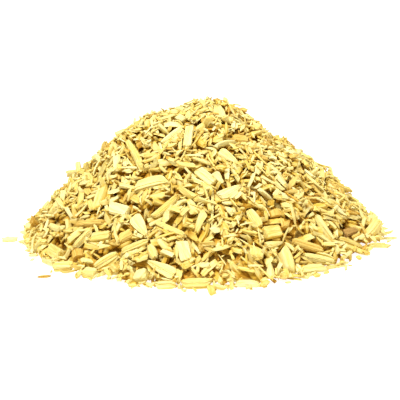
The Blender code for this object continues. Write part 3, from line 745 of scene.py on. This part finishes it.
def split_relief(node, at, turns):
    """How far the split surface stands out: ridges along the grain, cracks, and a ridged slab's ribs."""
    ridges = RNG.normal(0.0, 1.0, len(turns))
    ridges = ridges - 0.5 * (np.roll(ridges, 1) + np.roll(ridges, -1))
    drift = RNG.normal(0.0, 1.0, (len(at), len(turns)))
    for _ in range(3):
        drift[1:-1] = (drift[:-2] + 2.0 * drift[1:-1] + drift[2:]) / 4.0
    relief = FINE_RELIEF * (ridges[None] + DRIFT_SHARE * drift)
    for _ in range(RNG.integers(1, 4)):
        crack, start, reach = RNG.integers(len(turns)), RNG.uniform(-1.2, 0.8), RNG.uniform(0.4, 1.2)
        relief[:, crack] -= CRACK_DEPTH * np.clip(1.0 - ((at - start) / reach) ** 2, 0.0, 1.0)
    if "ridged" in node:
        relief = relief + RIDGE_DEPTH * np.cos(RIDGES * turns) * (1.0 - at[:, None] ** 4)
    return relief


def broken_tube(centres, radii, turns):
    """The rings of points round a larger chip, with jagged ends and a smaller ring inside each end."""
    x = np.repeat(centres[:, :1], len(turns), 1)
    y = centres[:, 1:2] + radii * np.cos(turns)
    z = centres[:, 2:3] + radii * np.sin(turns)
    for end, sign in ((0, -1.0), (-1, 1.0)):
        x[end] += sign * np.clip(RNG.normal(0.05, 0.22, len(turns)), -0.35, 0.4) * MM
    tube = np.stack([x, y, z], -1)
    inner = tube[[0, -1]] * END_INNER + tube[[0, -1]].mean(1, keepdims=True) * (1.0 - END_INNER)
    inner[..., 0] += RNG.normal(0.0, END_ROUGHNESS, inner.shape[:2]) + np.array([[END_HOLLOW], [-END_HOLLOW]])
    return np.concatenate([inner[:1], tube, inner[1:]])


def fine_chip(node, tops_around):
    """A larger chip, measured off its solid in sections across the grain."""
    points, faces = mesh_arrays(node)
    middle, axes = grain_frame(node, points, faces)
    at = np.linspace(-1.0, 1.0, FINE_STATIONS)
    at = np.sign(at) * np.abs(at) ** 0.7  # closer sections near the ends
    turns = 2.0 * np.pi * np.arange(FINE_SIDES) / FINE_SIDES
    centres, radii = measured_sections((points - middle) @ axes, faces, at, turns)
    relief = np.minimum(split_relief(node, at, turns), MOST_OUTWARD)
    tube = broken_tube(centres, np.maximum(radii + relief, LEAST_RADIUS * radii), turns)
    shape = np.concatenate([tube.reshape(-1, 3), tube[[0, -1]].mean(1)])
    ends = np.zeros(tube.shape[:2])
    ends[[0, 1, -2, -1]] = 1.0
    ends = np.concatenate([ends.ravel(), [1.0, 1.0]])
    placed = shape @ axes.T + middle
    placed[:, 2] = np.maximum(placed[:, 2], OVER_TABLE_LARGER)
    tone = np.broadcast_to(RNG.uniform(0.15, 0.85, 3), shape.shape)
    pith = RNG.uniform(-1.0, 1.0, 3)
    if "twig" in node:
        pith[1:] = 0.0
    # painted shade: how deep each point lies among the chips, a little weaker
    depth = PAINTED_SHADE_OF_LARGER * depth_under(placed, tops_around)
    piece = joined_mesh(f"fine_{node}", placed[None], shape + pith, tone, ends, depth, *tube.shape[1::-1])
    slot = next(part["material_slot"] for part in frame["record"]["subparts"] if part["node"] == node)
    wood = next(kind for kind, tones in WOODS.items() if tones[0] == slot)
    piece.data.materials.append(wood_material(wood))
    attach(piece, "root")
    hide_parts(node)
    return piece


# Wood

def attribute(tree, name):
    """The value that each point of the mesh holds under this name."""
    node = tree.nodes.new("ShaderNodeAttribute")
    node.attribute_name = name
    return node


def math_node(tree, operation, *values, clamp=False):
    """The result of one operation on numbers or on other nodes' results."""
    node = tree.nodes.new("ShaderNodeMath")
    node.operation = operation
    node.use_clamp = clamp
    for socket, value in zip(node.inputs, values):
        if isinstance(value, (int, float)):
            socket.default_value = value
        else:
            tree.links.new(value, socket)
    return node.outputs[0]


def grain_noise(tree, scale, detail):
    """Noise that is drawn out along the grain."""
    stretch = tree.nodes.new("ShaderNodeMapping")
    stretch.inputs["Scale"].default_value = scale
    tree.links.new(attribute(tree, "grain").outputs["Vector"], stretch.inputs["Vector"])
    texture = tree.nodes.new("ShaderNodeTexNoise")
    texture.inputs["Scale"].default_value = 1.0
    texture.inputs["Detail"].default_value = detail
    texture.inputs["Roughness"].default_value = 0.6
    tree.links.new(stretch.outputs["Vector"], texture.inputs["Vector"])
    return texture.outputs["Fac"]


def growth_rings(tree):
    """Rings round the grain's own axis."""
    rings = tree.nodes.new("ShaderNodeTexWave")
    rings.wave_type = "RINGS"
    rings.rings_direction = "X"
    rings.inputs["Scale"].default_value = RINGS_PER_METRE * math.pi / 10.0
    rings.inputs["Distortion"].default_value = 1.5
    rings.inputs["Detail"].default_value = 1.0
    rings.inputs["Detail Scale"].default_value = 0.6
    tree.links.new(attribute(tree, "grain").outputs["Vector"], rings.inputs["Vector"])
    return rings.outputs["Fac"]


def darkness(tree, fibres, bands):
    """How dark each spot of the wood is, from 0 to 1, with all the layers added up: the wood's own tone,
    rings, fibres, bands, blotches and broken ends, and painted shade by depth among the chips.
    """
    tone = tree.nodes.new("ShaderNodeSeparateXYZ")
    tree.links.new(attribute(tree, "tone").outputs["Vector"], tone.inputs["Vector"])
    blotches = grain_noise(tree, BLOTCHES, 3.0)
    layers = {
        "rings": growth_rings(tree),
        "fibres": math_node(tree, "SUBTRACT", fibres, 0.5),
        "bands": math_node(tree, "SUBTRACT", bands, 0.5),
        "blotches": math_node(tree, "SUBTRACT", blotches, 0.5),
        "broken_end": attribute(tree, "broken_end").outputs["Fac"],
        # painted shade: darker the deeper a point lies among the chips
        "depth": attribute(tree, "depth").outputs["Fac"],
    }
    mix = math_node(tree, "MULTIPLY_ADD", tone.outputs["X"], LAYERS["tone"], LEAST_TONE)
    for name, layer in layers.items():
        mix = math_node(tree, "MULTIPLY_ADD", layer, LAYERS[name], mix)
    return math_node(tree, "MULTIPLY", mix, ALL_LAYERS, clamp=True)


def tone_ramp(tree, mix, tones):
    """The wood's colour for each darkness, from its own grain and tone to painted shade down in the gaps."""
    ramp = tree.nodes.new("ShaderNodeValToRGB")
    elements = ramp.color_ramp.elements
    light, dark, deepest_painted_shade = ((*tone, 1.0) for tone in tones)
    elements[0].color, elements[0].position = light, TONE_STOPS[0]
    elements[1].color, elements[1].position = deepest_painted_shade, TONE_STOPS[2]
    elements.new(TONE_STOPS[1]).color = dark
    tree.links.new(mix, ramp.inputs["Fac"])
    return ramp.outputs["Color"]


def wood_material(kind):
    """Fibres along the grain, blotches, and a tone that differs from chip to chip, with painted shade
    darkening the points that lie deep among the chips.
    """
    name = f"{kind}_quassia"
    made = bpy.data.materials.get(name)
    if made:
        return made
    made = bpy.data.materials.new(name)
    made.use_nodes = True
    tree = made.node_tree
    shader = tree.nodes["Principled BSDF"]
    shader.inputs["Metallic"].default_value = 0.0
    shader.inputs["Specular IOR Level"].default_value = SHEEN
    fibres = grain_noise(tree, FIBRES, 3.0)
    bands = grain_noise(tree, BANDS, 2.0)
    colour = tone_ramp(tree, darkness(tree, fibres, bands), WOODS[kind][1:])
    tree.links.new(colour, shader.inputs["Base Color"])
    rough = math_node(tree, "MULTIPLY_ADD", fibres, MORE_ROUGH, LEAST_ROUGH)
    tree.links.new(rough, shader.inputs["Roughness"])
    bump = tree.nodes.new("ShaderNodeBump")
    bump.inputs["Strength"].default_value = BUMP_STRENGTH
    bump.inputs["Distance"].default_value = BUMP_HEIGHT
    tree.links.new(math_node(tree, "MULTIPLY_ADD", bands, BANDS_IN_BUMP, fibres), bump.inputs["Height"])
    tree.links.new(bump.outputs["Normal"], shader.inputs["Normal"])
    return made


# The core under the chips

def core_faces(number, count):
    """Squares over the core's top and over its flat foot, and a wall round their edge."""
    faces, edges = [], {}
    for i in range(number.shape[0] - 1):
        for j in range(number.shape[1] - 1):
            square = [number[i, j], number[i + 1, j], number[i + 1, j + 1], number[i, j + 1]]
            if min(square) < 0:
                continue
            faces.append(square)
            faces.append([corner + count for corner in reversed(square)])
            for k in range(4):
                edges[square[k], square[(k + 1) % 4]] = True
    for a, b in edges:
        if (b, a) not in edges:
            faces.append([b, a, a + count, b + count])
    return faces


def make_core(heights_of_core):
    """A plain mound under the chips, flat below, which shows nowhere."""
    grid = heights_of_core[::CORE_STEP, ::CORE_STEP]
    held = np.argwhere(grid > LOWEST_CORE)
    number = -np.ones(grid.shape, int)
    number[held[:, 0], held[:, 1]] = np.arange(len(held))
    xy = LOW + (held * CORE_STEP + 0.5) * CELL
    top = np.column_stack([xy, grid[held[:, 0], held[:, 1]]])
    foot = np.column_stack([xy, np.full(len(xy), CORE_FOOT)])
    points = np.concatenate([top, foot])
    mesh = bpy.data.meshes.new("packed_chips_inside")
    mesh.from_pydata(points.tolist(), [], core_faces(number, len(held)))
    mesh.validate()
    add_attribute(mesh, "grain", "FLOAT_VECTOR", points)
    mesh.shade_smooth()
    piece = bpy.data.objects.new("packed_chips_inside", mesh)
    bpy.context.scene.collection.objects.link(piece)
    piece.data.materials.append(wood_material("tan"))
    return piece


# The heap of loose chips

def uneven_field(reach):
    """Soft random values over the cells, with a spread of 1."""
    field = blurred(RNG.normal(0.0, 1.0, GRID), int(reach / CELL / 2))
    return (field - field.mean()) / field.std()


def open_places():
    """Every place where the heap is open or lowered: x, y, depth and reach in millimetres."""
    mass = tree_of(["chip_mass"])
    hollows = [(*spot_at(column, row, mass), *size) for column, row, *size in HOLLOWS.values()]
    return hollows + list(LOWERED)


def hollow_depths():
    """How far the heap is open under its surface, over every cell."""
    x = (LOW[0] + (np.arange(GRID[0]) + 0.5) * CELL)[:, None]
    y = (LOW[1] + (np.arange(GRID[1]) + 0.5) * CELL)[None, :]
    depths = POCKET_DEPTH * np.clip(uneven_field(POCKET_REACH) - POCKET_RARITY, 0.0, 1.0)
    for middle_x, middle_y, depth, reach in open_places():
        away = ((x - middle_x * MM) ** 2 + (y - middle_y * MM) ** 2) / (reach * MM) ** 2
        depths = np.maximum(depths, depth * MM * np.exp(-(away**2)))
    return depths


def sight_limit():
    """How high a loose chip may reach in front of a larger one without hiding it from the camera."""
    larger = LARGER_TOPS > 0.0
    shown = np.full(GRID, np.inf)
    thick = LARGER_TOPS[larger] - LARGER_UNDERSIDES[larger]
    shown[larger] = LARGER_UNDERSIDES[larger] + HIDDEN_SHARE * thick
    limit = np.full(GRID, np.inf)
    for cells in range(1, int(SIGHT_REACH / CELL)):
        in_front = np.full(GRID, np.inf)
        in_front[:, :-cells] = shown[:, cells:] + cells * CELL * math.tan(EYE_ELEVATION)
        limit = np.minimum(limit, in_front)
    return np.maximum(limit, SMOOTH - LEAST_UNDER_SURFACE)


def filling_goal(blocked):
    """The height that the chips are filled to, over every cell."""
    pockets = hollow_depths()
    steep_foot = FOOT_LIFT * np.exp(-SMOOTH / FOOT_REACH) * (SMOOTH > FOOT_START)
    surface = SMOOTH - UNDER_SURFACE + UNEVENNESS * uneven_field(UNEVEN_REACH) - pockets + steep_foot
    return np.where(SMOOTH > FOOT_EDGE, np.minimum(surface, blocked - UNDER_LARGER), 0.0)


def drop_chips(core):
    """All the loose chips by the way they fell, and the height of what lies around each cell."""
    limit = sight_limit()
    blocked = np.minimum(LARGER_UNDERSIDES, limit)
    goal = filling_goal(blocked)
    heap = Heap(core, blocked)
    dropped = {name: fill(heap, goal, **rules) for name, rules in FILLS.items()}
    heap.top = np.maximum(heap.top, LARGER_TOPS)
    heap.blocked = np.minimum(LARGER_TOPS + np.where(LARGER_TOPS > 0.0, 0.0, np.inf), limit)
    for name, rules in SCATTERS.items():
        dropped[name] = scatter(heap, **rules)
    return dropped, blurred(heap.top, 2)


def make_loose_pieces(dropped, tops_around):
    """The pieces of loose chips, one for each sort and each kind of wood."""
    pieces = []
    for name, parts, sides, stations, crumb in SORTS:
        chips = [chip for part in parts for chip in dropped[part]]
        kinds = RNG.choice(len(WOOD_SHARES), len(chips), p=list(WOOD_SHARES.values()))
        for number, wood in enumerate(WOOD_SHARES):
            chosen = [chip for chip, kind in zip(chips, kinds) if kind == number]
            if not chosen:
                continue
            piece = make_chips(f"{wood}_{name}", chosen, sides, stations, wood, tops_around, crumb)
            pieces.append(piece)
            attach(piece, "root")
    return pieces


def make_heap():
    """The loose chips and the core under them. Returns the height of what lies around each cell."""
    core = np.maximum(SMOOTH - SHELL, 0.0)
    core[SMOOTH < SHELL] = 0.0
    dropped, tops_around = drop_chips(core)
    pieces = make_loose_pieces(dropped, tops_around)
    inside = make_core(core)
    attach(inside, "root")
    pieces.append(inside)
    for piece in pieces:
        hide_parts("chip_mass")
    return tops_around


# The studio

def add_light(name, place, aim, size, power, colour):
    """A round soft light at place that shines at aim."""
    lamp = bpy.data.lights.new(name, "AREA")
    lamp.shape = "DISK"
    lamp.size = size
    lamp.energy = power
    lamp.color = colour
    light = bpy.data.objects.new(name, lamp)
    light.location = place
    light.rotation_euler = (Vector(aim) - Vector(place)).to_track_quat("-Z", "Y").to_euler()
    bpy.context.scene.collection.objects.link(light)


def make_table():
    """The plain white ground."""
    mesh = bpy.data.meshes.new("table")
    half = TABLE_HALF
    corners = [(-half, -half, 0), (half, -half, 0), (half, half, 0), (-half, half, 0)]
    mesh.from_pydata(corners, [], [(0, 1, 2, 3)])
    table = bpy.data.objects.new("table", mesh)
    bpy.context.scene.collection.objects.link(table)
    white = bpy.data.materials.new("white_table")
    white.use_nodes = True
    shader = white.node_tree.nodes["Principled BSDF"]
    shader.inputs["Base Color"].default_value = TABLE_COLOUR
    shader.inputs["Roughness"].default_value = 0.9
    shader.inputs["Emission Color"].default_value = (1.0, 1.0, 1.0, 1.0)
    shader.inputs["Emission Strength"].default_value = TABLE_GLOW
    table.data.materials.append(white)


def make_studio():
    """Soft light from all round, four lights, and the table."""
    scene = bpy.context.scene
    scene.view_settings.view_transform = "Standard"
    world = bpy.data.worlds.new("white_room")
    scene.world = world
    world.use_nodes = True
    world.node_tree.nodes["Background"].inputs["Color"].default_value = ROOM_COLOUR
    world.node_tree.nodes["Background"].inputs["Strength"].default_value = ROOM_STRENGTH
    for light in LIGHTS:
        add_light(*light)
    make_table()


def make_camera():
    """The camera of the photograph's view."""
    camera = bpy.data.objects.new("camera", bpy.data.cameras.new("camera"))
    camera.data.lens = LENS
    camera.data.sensor_width = SENSOR
    camera.data.clip_start = 0.01
    eye, down = eye_and_tilt(FOOT_MIDDLE)
    camera.location = eye
    camera.rotation_euler = (math.pi / 2.0 - down, 0.0, 0.0)
    bpy.context.scene.collection.objects.link(camera)
    bpy.context.scene.camera = camera


make_camera()
make_studio()
tops_around = make_heap()
for larger in LARGER:
    fine_chip(larger, tops_around)
